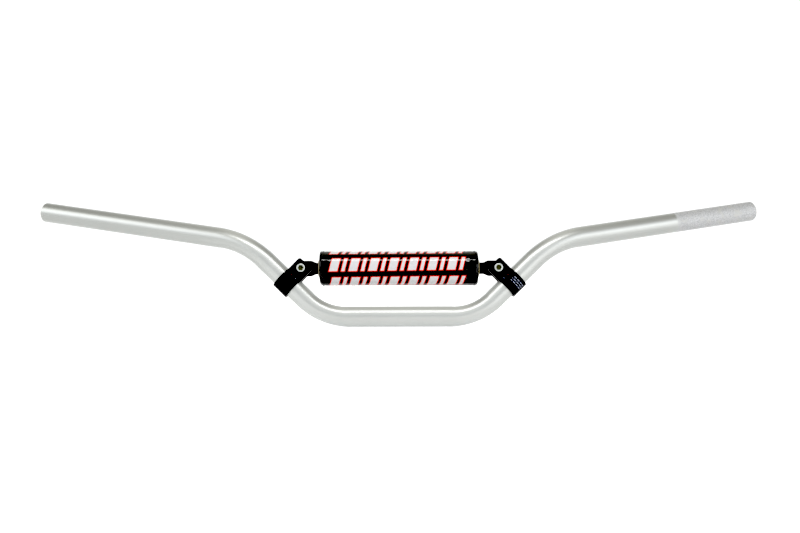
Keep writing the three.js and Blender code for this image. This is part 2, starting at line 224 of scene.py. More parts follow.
class Graph:
    """Builds the node graph of one material, or of the world."""

    def __init__(self, owner, shader="Principled BSDF", **values):
        owner.use_nodes = True
        self.owner = owner
        self.tree = owner.node_tree
        self.shader = self.tree.nodes[shader]
        for socket, value in values.items():
            self.shader.inputs[socket.replace("_", " ")].default_value = value

    def node(self, kind, inputs=None, **settings):
        made = self.tree.nodes.new(kind)
        for setting, value in settings.items():
            setattr(made, setting, value)
        for socket, value in (inputs or {}).items():
            self.feed(made.inputs[socket], value)
        return made

    def feed(self, socket, value):
        if isinstance(value, bpy.types.NodeSocket):
            self.tree.links.new(value, socket)
        else:
            socket.default_value = value

    def set(self, socket, value):
        self.feed(self.shader.inputs[socket], value)

    def position(self):
        return self.node("ShaderNodeTexCoord").outputs["Object"]

    def surface(self):
        """The piece's own surface lengths in metres: along it and round or across it."""
        lengths = self.node("ShaderNodeUVMap", uv_map="surface").outputs[0]
        split = self.node("ShaderNodeSeparateXYZ", {0: lengths})
        return split.outputs[0], split.outputs[1]

    def combine(self, x, y, z=0.0):
        return self.node("ShaderNodeCombineXYZ", {0: x, 1: y, 2: z}).outputs[0]

    def math(self, operation, a, b=0.0, c=0.0):
        return self.node("ShaderNodeMath", {0: a, 1: b, 2: c}, operation=operation).outputs[0]

    def plus(self, a, b):
        return self.math("ADD", a, b)

    def minus(self, a, b):
        return self.math("SUBTRACT", a, b)

    def times(self, a, b):
        return self.math("MULTIPLY", a, b)

    def magnitude(self, value):
        return self.math("ABSOLUTE", value)

    def between(self, value, low, high):
        """1 between low and high, else 0."""
        return self.times(self.math("GREATER_THAN", value, low), self.math("LESS_THAN", value, high))

    def step(self, value, low, high):
        """0 below low, 1 above high, with a soft edge between."""
        inputs = {0: value, 1: low, 2: high}
        return self.node("ShaderNodeMapRange", inputs, interpolation_type="SMOOTHSTEP").outputs[0]

    def ramp(self, value, low, high, at_low, at_high):
        """at_low below low, at_high above high, with a straight slope between."""
        inputs = {0: value, 1: low, 2: high, 3: at_low, 4: at_high}
        return self.node("ShaderNodeMapRange", inputs).outputs[0]

    def stretch(self, scale, vector=None):
        inputs = {"Vector": vector or self.position(), "Scale": scale}
        return self.node("ShaderNodeMapping", inputs).outputs[0]

    def noise(self, size, detail=3.0, roughness=0.55, vector=None):
        """Noise whose largest features are about size metres across."""
        inputs = {"Vector": vector or self.position(), "Scale": 1 / size}
        inputs.update({"Detail": detail, "Roughness": roughness})
        return self.node("ShaderNodeTexNoise", inputs).outputs["Fac"]

    def cells(self, size, feature="F1"):
        inputs = {"Vector": self.position(), "Scale": 1 / size}
        return self.node("ShaderNodeTexVoronoi", inputs, feature=feature).outputs["Distance"]

    def blend(self, share, low, high):
        """Mixes two colours or two numbers."""
        if isinstance(low, float):
            return self.ramp(share, 0.0, 1.0, low, high)
        low, high = ((*c, 1) if isinstance(c, tuple) else c for c in (low, high))
        return self.node("ShaderNodeMix", {0: share, 6: low, 7: high}, data_type="RGBA").outputs[2]

    def bump(self, height, distance, strength=1.0, normal=None):
        inputs = {"Height": height, "Distance": distance, "Strength": strength}
        if normal is not None:
            inputs["Normal"] = normal
        return self.node("ShaderNodeBump", inputs).outputs[0]

    def finish(self, colour, roughness, normal=None):
        """Sets what every material has, and gives the material."""
        self.set("Base Color", colour)
        self.set("Roughness", roughness)
        if normal is not None:
            self.set("Normal", normal)
        return self.owner


def material(name, **values):
    return Graph(bpy.data.materials.new(name), **values)


def anodised_silver():
    """Satin silver tube, polished round its girth, with faint scuffs."""
    g = material("anodised_silver", Metallic=1.0, Anisotropic=0.3)
    along, around = g.surface()
    lines = g.noise(0.02, 4.0, 0.7, g.combine(g.times(along, 60.0), around))
    tone = g.noise(0.05)
    scuffs = g.step(g.noise(0.004, 5.0, 0.6, g.stretch((1, 6, 6))), 0.66, 0.8)
    g.set("Tangent", g.node("ShaderNodeTangent", direction_type="UV_MAP", uv_map="surface").outputs[0])
    roughness = g.plus(g.blend(lines, 0.34, 0.42), g.times(scuffs, 0.08))
    return g.finish(g.blend(tone, (0.5, 0.513, 0.502), (0.54, 0.553, 0.545)), roughness,
                    g.bump(lines, 0.004 * MM))


def blasted_silver():
    """The blasted left grip: mottled, with a smoother ring where it starts."""
    g = material("blasted_silver", Metallic=1.0)
    along, _ = g.surface()
    grain = g.noise(0.0011, 4.0, 0.7)
    patches = g.noise(0.006, 4.0)
    ring = g.minus(1.0, g.step(along, ROUGH_START + 3.4 * MM, ROUGH_START + 4 * MM))
    colour = g.blend(g.step(grain, 0.35, 0.65), (0.46, 0.465, 0.475), (0.66, 0.665, 0.675))
    colour = g.blend(g.step(patches, 0.5, 0.7), colour, (0.58, 0.58, 0.57))
    colour = g.blend(g.times(ring, 0.5), colour, (0.6, 0.61, 0.61))
    return g.finish(colour, g.blend(grain, 0.62, 0.8), g.bump(grain, 0.1 * MM))


def turned_aluminium():
    """Bare metal of the cut ends and the bore, with turning rings."""
    g = material("turned_aluminium", Metallic=1.0)
    rings = g.noise(0.006, 4.0, vector=g.stretch((12, 1, 1)))
    colour = g.blend(rings, (0.42, 0.37, 0.33), (0.6, 0.55, 0.5))
    return g.finish(colour, g.blend(rings, 0.3, 0.5), g.bump(rings, 0.02 * MM))


# Two painted glints on the front of each clamp, drawn as small dots: place (x, z), with the sides folded
# together, and colour.
GLINT_RADIUS = 0.5 * MM
GLINT_DOTS = (
    ((BOLT_X + 5.6 * MM, pad_axis.z - 10.4 * MM), (0.3, 0.33, 0.42)),
    ((BOLT_X + 10.0 * MM, pad_axis.z - 6.6 * MM), (0.22, 0.02, 0.04)),
)

# A block of short broken lines on one band. Lengths run round the band, widths across it.
MARKS_AT = 36 * MM
MARKS_HALF_LENGTH = 8.4 * MM
MARK_ROWS = 3
MARK_PITCH = 2.5 * MM
MARK_HALF_WIDTH = 0.55 * MM
MARKS_LOW = -1.3 * MM
DASH_PITCH = 4.4 * MM
DASH_LENGTH = 3.3 * MM
DASH_STAGGER = 1.3 * MM


def dot(g, x, z):
    """1 inside the painted glint dots at (x, z) and (-x, z), at any depth."""
    folded = g.node("ShaderNodeVectorMath", {0: g.position()}, operation="ABSOLUTE").outputs[0]
    offset = {0: g.stretch((1, 0, 1), folded), 1: (x, 0, z)}
    reach = g.node("ShaderNodeVectorMath", offset, operation="DISTANCE").outputs["Value"]
    return g.math("LESS_THAN", reach, GLINT_RADIUS)


def guide_lines(g):
    """1 on the broken lines, which hold no lettering."""
    along, across = g.surface()
    shifted = g.minus(across, MARKS_LOW)
    row = g.math("FLOOR", g.math("DIVIDE", shifted, MARK_PITCH))
    off_centre = g.magnitude(g.minus(g.math("FLOORED_MODULO", shifted, MARK_PITCH), MARK_PITCH / 2))
    in_line = g.times(g.math("LESS_THAN", off_centre, MARK_HALF_WIDTH),
                      g.between(shifted, 0.0, MARK_ROWS * MARK_PITCH))
    dash = g.math("FLOORED_MODULO", g.plus(along, g.times(row, DASH_STAGGER)), DASH_PITCH)
    in_dash = g.math("LESS_THAN", dash, DASH_LENGTH)
    in_block = g.math("LESS_THAN", g.magnitude(g.minus(along, MARKS_AT)), MARKS_HALF_LENGTH)
    return g.times(in_line, g.times(in_dash, in_block))


def black_anodised(name, marks=False):
    """Black anodised aluminium with a bloom, rubbed edges and painted glint dots; marks adds the guide
    lines.
    """
    g = material(name, Specular_IOR_Level=0.28)
    cloud = g.noise(0.009, 4.0)
    rubbed = g.step(g.node("ShaderNodeNewGeometry").outputs["Pointiness"], 0.56, 0.66)
    colour = g.blend(cloud, (0.004, 0.004, 0.005), (0.009, 0.009, 0.011))
    colour = g.blend(g.times(rubbed, 0.25), colour, (0.25, 0.25, 0.25))
    # Painted glints: small pale blue and dim red dots where tiny glints show.
    for (x, z), glint_colour in GLINT_DOTS:
        colour = g.blend(dot(g, x, z), colour, glint_colour)
    if marks:
        colour = g.blend(guide_lines(g), colour, (0.24, 0.26, 0.33))
    return g.finish(colour, g.blend(cloud, 0.34, 0.5), g.bump(g.noise(0.0006), 0.02 * MM))


def bright_steel():
    """Bright zinc-plated steel."""
    g = material("bright_steel", Metallic=1.0)
    grain = g.noise(0.0005, 2.0)
    colour = g.blend(g.noise(0.003, 4.0), (0.46, 0.49, 0.48), (0.56, 0.58, 0.57))
    return g.finish(colour, g.blend(grain, 0.3, 0.44), g.bump(grain, 0.008 * MM))


def painted_socket_shade():
    """Painted shade: a dark colour for the inside of a screw's socket, standing in for the shade in the
    recess.
    """
    g = material("painted_socket_shade", Metallic=0.6)
    shade_noise = g.noise(0.001, 4.0)
    return g.finish(g.blend(shade_noise, (0.05, 0.055, 0.035), (0.17, 0.17, 0.11)), g.blend(shade_noise, 0.4, 0.6))


def blue_nylon():
    """The locking ring's blue nylon."""
    g = material("blue_nylon")
    cloud = g.noise(0.0015)
    return g.finish(g.blend(cloud, (0.03, 0.1, 0.32), (0.05, 0.15, 0.42)), g.blend(cloud, 0.4, 0.55))


def tan_foam():
    """Cut closed-cell foam: a fine field of open cells."""
    g = material("tan_foam")
    pores = g.cells(0.0011)
    cloud = g.noise(0.006, 4.0)
    light = g.blend(cloud, (0.23, 0.2, 0.14), (0.3, 0.265, 0.185))
    colour = g.blend(g.step(pores, 0.05, 0.5), (0.06, 0.052, 0.032), light)
    return g.finish(colour, g.blend(cloud, 0.85, 0.97), g.bump(pores, 0.5 * MM, 0.8))


# The printed rows on the cover: slanted bars, given as (start, width) within one repeat.
ROW_PITCH = 21.6 * MM
ROW_HEIGHT = 15.7 * MM
ROW_TILT = 0.012
BAR_PITCH = 21.1 * MM
BAR_SLANT = 0.24
BARS = ((0.0, 10.4 * MM), (13.1 * MM, 5.0 * MM))
BAR_REPEATS = 7
BARS_START = -77 * MM
OUTLINE = 0.8 * MM
PRINT_BLUR = 0.12 * MM


def printed_bars(g):
    """How far inside the nearest bar each place is, and 1 where a row has bars at all."""
    along, around = g.surface()
    row_place = g.math("FLOORED_MODULO", g.minus(around, g.times(along, ROW_TILT)), ROW_PITCH)
    slanted = g.minus(g.minus(along, BARS_START), g.times(row_place, BAR_SLANT))
    place = g.math("FLOORED_MODULO", slanted, BAR_PITCH)
    inside = -1.0
    for start, width in BARS:
        edge = g.math("MINIMUM", g.minus(place, start), g.minus(start + width, place))
        inside = g.math("MAXIMUM", edge, inside)
    in_row = g.math("MINIMUM", row_place, g.minus(ROW_HEIGHT, row_place))
    return g.math("MINIMUM", inside, in_row), g.between(slanted, 0.0, BAR_REPEATS * BAR_PITCH)


def printed_vinyl():
    """Glossy black vinyl with rows of white bars outlined in red, grain and creases."""
    g = material("printed_vinyl", Specular_IOR_Level=0.68)
    inside, printed = printed_bars(g)
    red = g.times(g.step(inside, -PRINT_BLUR, PRINT_BLUR), printed)
    white = g.times(g.step(inside, OUTLINE - PRINT_BLUR, OUTLINE + PRINT_BLUR), printed)
    cloud = g.noise(0.02, 4.0)
    black = g.blend(cloud, (0.004, 0.004, 0.0045), (0.009, 0.009, 0.01))
    paper = g.blend(cloud, (0.48, 0.48, 0.495), (0.55, 0.55, 0.56))
    colour = g.blend(white, g.blend(red, black, (0.75, 0.022, 0.004)), paper)
    creases = g.bump(g.noise(0.012, vector=g.stretch((3, 1, 1))), 0.06 * MM, 0.5)
    grain = g.bump(g.cells(0.0009, "SMOOTH_F1"), 0.01 * MM, 0.5, creases)
    return g.finish(colour, g.blend(cloud, 0.11, 0.17), grain)


def black_weave(name, size, depth):
    """A coarse black textile, for the strips and the sewing thread."""
    g = material(name, Sheen_Weight=0.2)
    fuzz = g.noise(size, 4.0, 0.7)
    colour = g.blend(fuzz, (0.008, 0.008, 0.009), (0.03, 0.03, 0.032))
    return g.finish(colour, g.blend(fuzz, 0.7, 0.95), g.bump(fuzz, depth))


# --- bar tube: a station is (point, tangent, direction into the bend, how far it is squashed) ---

TUBE_SIDES = 112
BEND_STEPS = 26
SPACING = 12 * MM
ROUGH_SPACING = 0.8 * MM
ROUGH_DEPTH = 0.035 * MM
BEND_FLATTENING = 0.05
BEND_SPREADING = 0.02
RIM_ROWS = 5


def bend(before, corner, after, radius, count):
    """Points, tangents and in-plane directions along the bend that rounds a corner."""
    arriving = (corner - before).normalized()
    leaving = (after - corner).normalized()
    angle = arriving.angle(leaving)
    axis = arriving.cross(leaving).normalized()
    start = corner - arriving * radius * math.tan(angle / 2)
    centre = start + axis.cross(arriving) * radius
    stations = []
    for i in range(count + 1):
        turn = Matrix.Rotation(angle * i / count, 3, axis)
        inward = turn @ axis.cross(arriving)
        squash = max(0, math.sin(math.pi * i / count)) ** 0.7
        stations.append((centre - inward * radius, turn @ arriving, inward, squash))
    return stations


def length_of(stations):
    return sum((after[0] - before[0]).length for before, after in zip(stations, stations[1:]))


def straight(start, end, spacing):
    """Stations strictly between two points."""
    run = end - start
    count = max(1, round(run.length / spacing))
    tangent = run.normalized()
    return [(start + run * i / count, tangent, tangent.orthogonal(), 0.0) for i in range(1, count)]


def half_tube_stations(end_spacing):
    """The centre line from the middle of the bar to one tip, on +X."""
    arm = Vector(in_brace_plane((math.cos(ARM_RISE), 0, math.sin(ARM_RISE))))
    grip = Vector((math.cos(GRIP_RISE) * math.cos(GRIP_SWEEP),
                   math.cos(GRIP_RISE) * math.sin(GRIP_SWEEP), math.sin(GRIP_RISE)))
    middle = Vector((0, 0, 0))
    lower = Vector((CENTRE_HALF, 0, 0))
    upper = lower + arm * ARM_LENGTH
    tip = upper + grip * GRIP_LENGTH
    rough = tip - grip * ROUGH_LENGTH
    low_bend = bend(middle, lower, upper, LOWER_BEND, BEND_STEPS)
    high_bend = bend(lower, upper, tip, UPPER_BEND, BEND_STEPS)
    return [
        (middle, Vector((1, 0, 0)), Vector((0, 0, 1)), 0.0),
        *straight(middle, low_bend[0][0], SPACING),
        *low_bend,
        *straight(low_bend[-1][0], high_bend[0][0], SPACING),
        *high_bend,
        *straight(high_bend[-1][0], rough, SPACING),
        (rough, grip, grip.orthogonal(), 0.0),
        *straight(rough, tip - grip * END_CHAMFER, end_spacing),
        (tip, grip, grip.orthogonal(), 0.0),
    ]


ROUGH_START = length_of(half_tube_stations(SPACING)) - ROUGH_LENGTH


def tube_frames(stations):
    """Carries a pair of cross directions along the centre line without twist."""
    across = Vector((0, 1, 0))
    frames = []
    for _, tangent, _, _ in stations:
        across = (across - tangent * across.dot(tangent)).normalized()
        frames.append((across.copy(), tangent.cross(across)))
    return frames


def tube_ring(station, directions, radius, back=0.0):
    """One cross-section of the tube; a bend presses it slightly oval."""
    point, tangent, inward, squash = station
    spokes = circle(TUBE_SIDES, *(np.array(d) for d in directions))
    inward = np.array(inward)
    in_plane = np.outer(spokes @ inward, inward)
    pressed = in_plane * (BEND_FLATTENING + BEND_SPREADING) * squash
    spokes = spokes * (1 + BEND_SPREADING * squash) - pressed
    return np.array(point - tangent * back) + spokes * radius


def half_tube_rings(end_spacing, roughness, rng):
    """Outer rings from the middle to the tip, then bore rings back; and each ring's length along."""
    stations = half_tube_stations(end_spacing)
    frames = tube_frames(stations)
    lengths = np.append(0, np.cumsum([(b[0] - a[0]).length for a, b in zip(stations, stations[1:])]))
    tip, tip_frame, total = stations[-1], frames[-1], lengths[-1]
    outer, along = [], []
    for station, directions, length in zip(stations[:-1], frames[:-1], lengths[:-1]):
        ring = tube_ring(station, directions, TUBE_RADIUS)
        if roughness and length > total - ROUGH_LENGTH + 0.5 * MM:
            spokes = ring - np.array(station[0])
            ring = ring + spokes * rng.normal(0, roughness / TUBE_RADIUS, (TUBE_SIDES, 1))
        outer.append(ring)
        along.append(length)
    rim = [(TUBE_RADIUS, END_CHAMFER), (TUBE_RADIUS - 0.12 * MM, 0.9 * END_CHAMFER)]
    rim += [(TUBE_RADIUS - 0.92 * END_CHAMFER, 0.1 * MM), (TUBE_RADIUS - 1.1 * END_CHAMFER, 0.0)]
    rim += [(BORE_RADIUS + 0.5 * MM, 0.0), (BORE_RADIUS, 0.5 * MM)]
    outer += [tube_ring(tip, tip_frame, radius, back) for radius, back in rim]
    along += [total - back for _, back in rim]
    # The bore needs a ring only at every third station, and none close behind the rim.
    bore = [tube_ring(*spot, BORE_RADIUS) for spot in list(zip(stations, frames))[-8::-3]]
    return outer, along, bore


def bar_tube():
    """The whole tube: both halves' outsides, joined through the bore."""
    rng = np.random.default_rng(SEED)
    left = half_tube_rings(ROUGH_SPACING, ROUGH_DEPTH, rng)
    right = half_tube_rings(SPACING, 0.0, rng)
    mirror = np.array([-1, 1, 1])
    outer = [ring * mirror for ring in reversed(right[0])] + left[0][1:]
    along = [-length for length in reversed(right[1])] + left[1][1:]
    bore = left[2] + [ring * mirror for ring in reversed(right[2])]
    bore_along = np.linspace(along[-1], along[0], len(bore) + 2)[1:-1]
    around = np.linspace(0, TURN * TUBE_RADIUS, TUBE_SIDES + 1)
    points, faces, uvs = loft(outer + bore, np.append(along, bore_along), around, closed=True)
    surfaces = [anodised_silver(), turned_aluminium(), blasted_silver()]
    tube = piece("handlebar_tube", points, faces, "bar", "bar_tube", surfaces, uvs, 24)
    first, last = RIM_ROWS, len(outer) - RIM_ROWS - 1
    for face in tube.data.polygons:
        row = face.index // TUBE_SIDES
        on_outside = first <= row < last
        blasted = on_outside and along[row] > ROUGH_START - 0.1 * MM
        face.material_index = 2 if blasted else 0 if on_outside else 1


# --- crossbar ---

CROSSBAR_SIDES = 72
DRILL_RADIUS = 3.2 * MM
DRILL_REACH = 20 * MM


def slot_outline(angles, half_thickness, half_height):
    """Points of a slot shape, spread evenly along its outline like the angles of a circle."""
    folded = np.arctan2(np.abs(np.sin(angles)), np.abs(np.cos(angles)))
    flat = half_height - half_thickness
    along = folded / QUARTER * (flat + QUARTER * half_thickness)
    turn = np.maximum(0, along - flat) / half_thickness
    y = np.sign(np.cos(angles)) * half_thickness * np.cos(turn)
    z = np.sign(np.sin(angles)) * (np.minimum(along, flat) + half_thickness * np.sin(turn))
    return y, z


def crossbar():
    """A round rod pressed to flat, round-ended ears at both ends, and drilled there."""
    # The small turn keeps every point off the axes, where the outline changes side.
    angles = np.linspace(0, TURN, CROSSBAR_SIDES, endpoint=False) + 0.001
    end = BOLT_X + FLAT_HALF_HEIGHT
    half = np.concatenate([
        np.linspace(0, ROUND_END - 2 * MM, 8),
        np.linspace(ROUND_END - 1 * MM, FLAT_START + 1 * MM, 22),
        np.linspace(FLAT_START + 2 * MM, BOLT_X, 5),
        BOLT_X + FLAT_HALF_HEIGHT * np.sin(np.linspace(0.1, 0.96, 12) * QUARTER),
    ])
    rings = []
    for x in np.concatenate([-half[:0:-1], half]):
        pressed = ease((abs(x) - ROUND_END) / (FLAT_START - ROUND_END))
        beyond = max(0, abs(x) - BOLT_X)
        height = math.sqrt(FLAT_HALF_HEIGHT ** 2 - beyond ** 2)
        thickness = min(FLAT_HALF_THICKNESS, 0.6 * height, math.sqrt(max(0, end - abs(x)) * 4 * MM))
        y, z = slot_outline(angles, max(thickness, 0.1 * MM), height)
        y = CROSSBAR_RADIUS * np.cos(angles) * (1 - pressed) + y * pressed
        z = CROSSBAR_RADIUS * np.sin(angles) * (1 - pressed) + z * pressed
        rings.append(np.stack([np.full_like(y, x), y, z + CROSSBAR_HEIGHT], axis=1))
    points, faces, uvs = loft(rings)
    bar = piece("crossbar_tube", in_brace_plane(points), faces, "bar", "crossbar",
                [black_anodised("black_crossbar")], uvs)
    for side in (1, -1):
        drill(bar, side)


def drill(thing, side):
    """Drills the screw hole of one clamp."""
    ends = in_brace_plane([(side * BOLT_X, y, CROSSBAR_HEIGHT) for y in (-DRILL_REACH, DRILL_REACH)])
    cut(thing, round_rod(DRILL_RADIUS, ends[0], ends[1]))


# --- clamps ---

CORNER = 0.35 * MM
TUBE_CLEARANCE = 0.05 * MM
EAR_INNER = FLAT_HALF_THICKNESS + TUBE_CLEARANCE
EAR_FILLET = 1.6 * MM


def clamp_ribbon():
    """The clamp's wall as (inner point, outer point, half width), from one ear's tip to the other's."""
    bore = TUBE_RADIUS + TUBE_CLEARANCE
    fillet_y = EAR_FACE + EAR_FILLET
    fillet_z = math.sqrt((BAND_RADIUS + EAR_FILLET) ** 2 - fillet_y ** 2)
    meet = math.atan2(fillet_y, fillet_z)
    bore_start = math.asin(EAR_INNER / bore)
    ribbon = []
    for turn in np.linspace(0.85 * QUARTER, 0, 8):
        z = EAR_REACH - EAR_CORNER + EAR_CORNER * math.sin(turn)
        half_width = CLAMP_HALF_WIDTH - EAR_CORNER + EAR_CORNER * math.cos(turn)
        ribbon.append(((EAR_INNER, z), (EAR_FACE, z), half_width))
    for z in np.linspace(EAR_REACH - EAR_CORNER, fillet_z, 8)[1:]:
        ribbon.append(((EAR_INNER, z), (EAR_FACE, z), CLAMP_HALF_WIDTH))
    inner_end = bore * math.cos(bore_start)
    for share in np.linspace(0, 1, 7)[1:]:
        turn = math.pi + share * (QUARTER - meet)
        outer = (fillet_y + EAR_FILLET * math.cos(turn), fillet_z + EAR_FILLET * math.sin(turn))
        ribbon.append(((EAR_INNER, fillet_z + share * (inner_end - fillet_z)), outer, CLAMP_HALF_WIDTH))
    for share in np.linspace(0, 1, 31)[1:]:
        inner_turn = bore_start + share * (math.pi - bore_start)
        outer_turn = meet + share * (math.pi - meet)
        ribbon.append((
            (bore * math.sin(inner_turn), bore * math.cos(inner_turn)),
            (BAND_RADIUS * math.sin(outer_turn), BAND_RADIUS * math.cos(outer_turn)),
            CLAMP_HALF_WIDTH))
    mirrored = [((-i[0], i[1]), (-o[0], o[1]), w) for i, o, w in ribbon[-2::-1]]
    return ribbon + mirrored


def clamp_section(inner, outer, half_width, inset=0.0):
    """A rounded rectangle across the wall: (x, y, z) points with x along the arm, and their x."""
    inner, outer = np.array(inner), np.array(outer)
    depth = np.linalg.norm(outer - inner)
    out = (outer - inner) / depth
    points, places = [], []
    corners = [(1, 1), (-1, 1), (-1, 0), (1, 0)]
    for index, (x_side, at_outer) in enumerate(corners):
        for turn in np.linspace(0, QUARTER, 4) + index * QUARTER:
            x = x_side * (half_width - CORNER - inset) + (CORNER - 0.5 * inset) * math.cos(turn)
            level = (depth - CORNER - inset if at_outer else CORNER + inset)
            level += (CORNER - 0.5 * inset) * math.sin(turn)
            y, z = inner + out * level
            points.append((x, y, z))
            places.append(x)
    return np.array(points), places


def clamp(name, side, marks):
    """One clamp, skinned from tip to tip and set square to its arm."""
    ribbon = clamp_ribbon()
    tip_half_width = CLAMP_HALF_WIDTH - EAR_CORNER
    tips = [((s * EAR_INNER, EAR_REACH), (s * EAR_FACE, EAR_REACH), tip_half_width) for s in (1, -1)]
    ends = [clamp_section(*tip, inset=CORNER)[0] for tip in tips]
    rings = [ends[0], *(clamp_section(*step)[0] for step in ribbon), ends[1]]
    outer = np.array([tips[0][1], *(step[1] for step in ribbon), tips[1][1]])
    # Across the wall, the surface lengths are those of a full-width section.
    places = clamp_section(*ribbon[len(ribbon) // 2])[1]
    points, faces, uvs = loft(rings, lengths_along(outer), np.append(places, places[0]))
    # In a section, x runs along the arm, y along the screw and z out along the ears.
    arm = np.array([side * math.cos(ARM_RISE), 0, math.sin(ARM_RISE)])
    ears = np.array([-side * math.sin(ARM_RISE), 0, math.cos(ARM_RISE)])
    bolt = np.array([0, -1, 0])
    foot = np.array([side * BOLT_X, 0, CROSSBAR_HEIGHT]) - ears * BOLT_OFFSET
    placed = foot + points @ np.stack([arm, bolt, ears])
    thing = piece(f"crossbar_clamp_{name}", in_brace_plane(placed), faces, "bar",
                  f"clamp_{name}", [black_anodised(f"black_clamp_{name}", marks)], uvs)
    drill(thing, side)


# --- screws, washers and nuts, turned round the screw's axis with their seats at y = 0 ---

SHANK_RADIUS = 3 * MM
SHANK_LENGTH = 25 * MM
THREAD_PITCH = 1 * MM
THREAD_DEPTH = 0.3 * MM
THREAD_START = 9 * MM
HEAD_RADIUS = 4.7 * MM
HEAD_HEIGHT = 6 * MM
KNURLS = 36
KNURL_DEPTH = 0.09 * MM
SOCKET_HALF_WIDTH = 2.5 * MM
SOCKET_DEPTH = 3.2 * MM
WASHER_RADIUS = 6 * MM
NUT_HALF_WIDTH = 5 * MM
NUT_HEX_HEIGHT = 4.6 * MM
NUT_HEIGHT = 6.4 * MM
TURNED_SIDES = 144
SOCKET_ROWS = 4


def turned_angles():
    return np.linspace(0, TURN, TURNED_SIDES, endpoint=False)


def hexagon(half_width):
    """The radius of a hexagon in each turned direction."""
    folded = np.mod(turned_angles(), TURN / 6) - TURN / 12
    return half_width / np.cos(folded)


def turned_piece(name, profile, side, seat, node, surfaces, closed=False):
    """Turns (radius or radii, y) pairs round the screw's axis."""
    angles = turned_angles()
    centre = np.array([side * BOLT_X, seat, CROSSBAR_HEIGHT])
    rings = []
    for radius, y in profile:
        depths = np.full(angles.shape, y)
        ring = np.stack([radius * np.cos(angles), depths, radius * np.sin(angles)], axis=1)
        rings.append(in_brace_plane(ring + centre))
    points, faces, _ = loft(rings, closed=closed)
    return piece(name, points, faces, "bar", node, surfaces)


def paint_socket_shade(screw):
    """Gives the socket's walls and floor the painted shade material, dark as the shade in the recess."""
    floor_face = len(screw.data.polygons) - 2
    for face in screw.data.polygons:
        in_socket = face.index < SOCKET_ROWS * TURNED_SIDES or face.index == floor_face
        face.material_index = 1 if in_socket else 0


def screw_profile():
    """A knurled socket head and a threaded shank."""
    angles = turned_angles()
    knurl = KNURL_DEPTH * np.maximum(0, np.cos(KNURLS * angles))
    hex_hole = hexagon(SOCKET_HALF_WIDTH)
    rim = SOCKET_HALF_WIDTH * 1.26
    head = [
        (0.02 * MM, SOCKET_DEPTH + 0.7 * MM),
        (hex_hole * 0.96, SOCKET_DEPTH),
        (hex_hole, SOCKET_DEPTH - 0.15 * MM),
        (hex_hole, 0.55 * MM),
        (np.minimum(hex_hole * 1.03, rim), 0.42 * MM),
        (rim, 0.08 * MM),
        (rim + 0.1 * MM, 0.0),
        (HEAD_RADIUS - 0.75 * MM, 0.0),
        (HEAD_RADIUS - 0.4 * MM, 0.1 * MM),
        (HEAD_RADIUS - 0.1 * MM, 0.45 * MM),
        (HEAD_RADIUS - 0.05 * MM, 0.75 * MM),
        (HEAD_RADIUS - knurl, 0.95 * MM),
        (HEAD_RADIUS - knurl, HEAD_HEIGHT - 0.9 * MM),
        (HEAD_RADIUS - 0.05 * MM, HEAD_HEIGHT - 0.7 * MM),
        (HEAD_RADIUS - 0.1 * MM, HEAD_HEIGHT - 0.1 * MM),
        (HEAD_RADIUS - 0.25 * MM, HEAD_HEIGHT),
        (SHANK_RADIUS + 0.3 * MM, HEAD_HEIGHT),
        (SHANK_RADIUS, HEAD_HEIGHT + 0.3 * MM),
    ]
    shank = [(SHANK_RADIUS, HEAD_HEIGHT + THREAD_START)]
    for y in np.arange(THREAD_START + THREAD_PITCH / 8, SHANK_LENGTH - 0.6 * MM, THREAD_PITCH / 8):
        wave = np.abs(2 * np.mod(y / THREAD_PITCH - angles / TURN, 1) - 1)
        deep = THREAD_DEPTH * np.clip(1.3 * (1 - wave) - 0.15, 0, 1)
        tip = 0.9 * max(0, y - SHANK_LENGTH + 1.5 * MM)
        deep = deep * min(1, (y - THREAD_START) / THREAD_PITCH)
        shank.append((SHANK_RADIUS - deep - tip, HEAD_HEIGHT + y))
    end = HEAD_HEIGHT + SHANK_LENGTH
    shank += [(SHANK_RADIUS - 0.95 * MM, end - 0.2 * MM), (0.02 * MM, end)]
    return [(radius, y - HEAD_HEIGHT) for radius, y in head + shank]


def washer_profile():
    hole, top, edge = SHANK_RADIUS + 0.3 * MM, WASHER_THICKNESS, 0.18 * MM
    return [
        (hole, edge), (hole + edge, 0), (WASHER_RADIUS - edge, 0), (WASHER_RADIUS, edge),
        (WASHER_RADIUS, top - 2 * edge), (WASHER_RADIUS - 0.6 * edge, top - 0.6 * edge),
        (WASHER_RADIUS - 2 * edge, top), (hole + edge, top), (hole, top - edge),
    ]


def nut_profile():
    """A hexagon with blunted corners, and a round collar that holds the locking ring."""
    sides = hexagon(NUT_HALF_WIDTH)
    blunt = NUT_HALF_WIDTH * 0.97
    hole, collar, pocket, lip = 3.05 * MM, 4.85 * MM, 4.3 * MM, 3.8 * MM
    profile = [(hole, 0.5 * MM), (hole + 0.35 * MM, 0.05 * MM), (blunt * 0.93, 0.0)]
    rise = np.linspace(0, 1, 5) * 0.7 * MM
    profile += [(np.minimum(sides, blunt + 1.3 * y), y) for y in rise]
    profile += [(np.minimum(sides, blunt + 1.3 * y), NUT_HEX_HEIGHT - y) for y in rise[::-1]]
    profile += [
        (collar, NUT_HEX_HEIGHT + 0.05 * MM),
        (collar, NUT_HEIGHT - 0.55 * MM),
        (collar - 0.12 * MM, NUT_HEIGHT - 0.25 * MM),
        (collar - 0.45 * MM, NUT_HEIGHT - 0.02 * MM),
        (lip + 0.15 * MM, NUT_HEIGHT - 0.1 * MM),
        (lip, NUT_HEIGHT - 0.25 * MM),
        (lip + 0.05 * MM, NUT_HEIGHT - 0.5 * MM),
        (pocket, NUT_HEIGHT - 0.55 * MM),
        (pocket, NUT_HEX_HEIGHT - 0.2 * MM),
        (hole, NUT_HEX_HEIGHT - 0.2 * MM),
    ]
    return profile


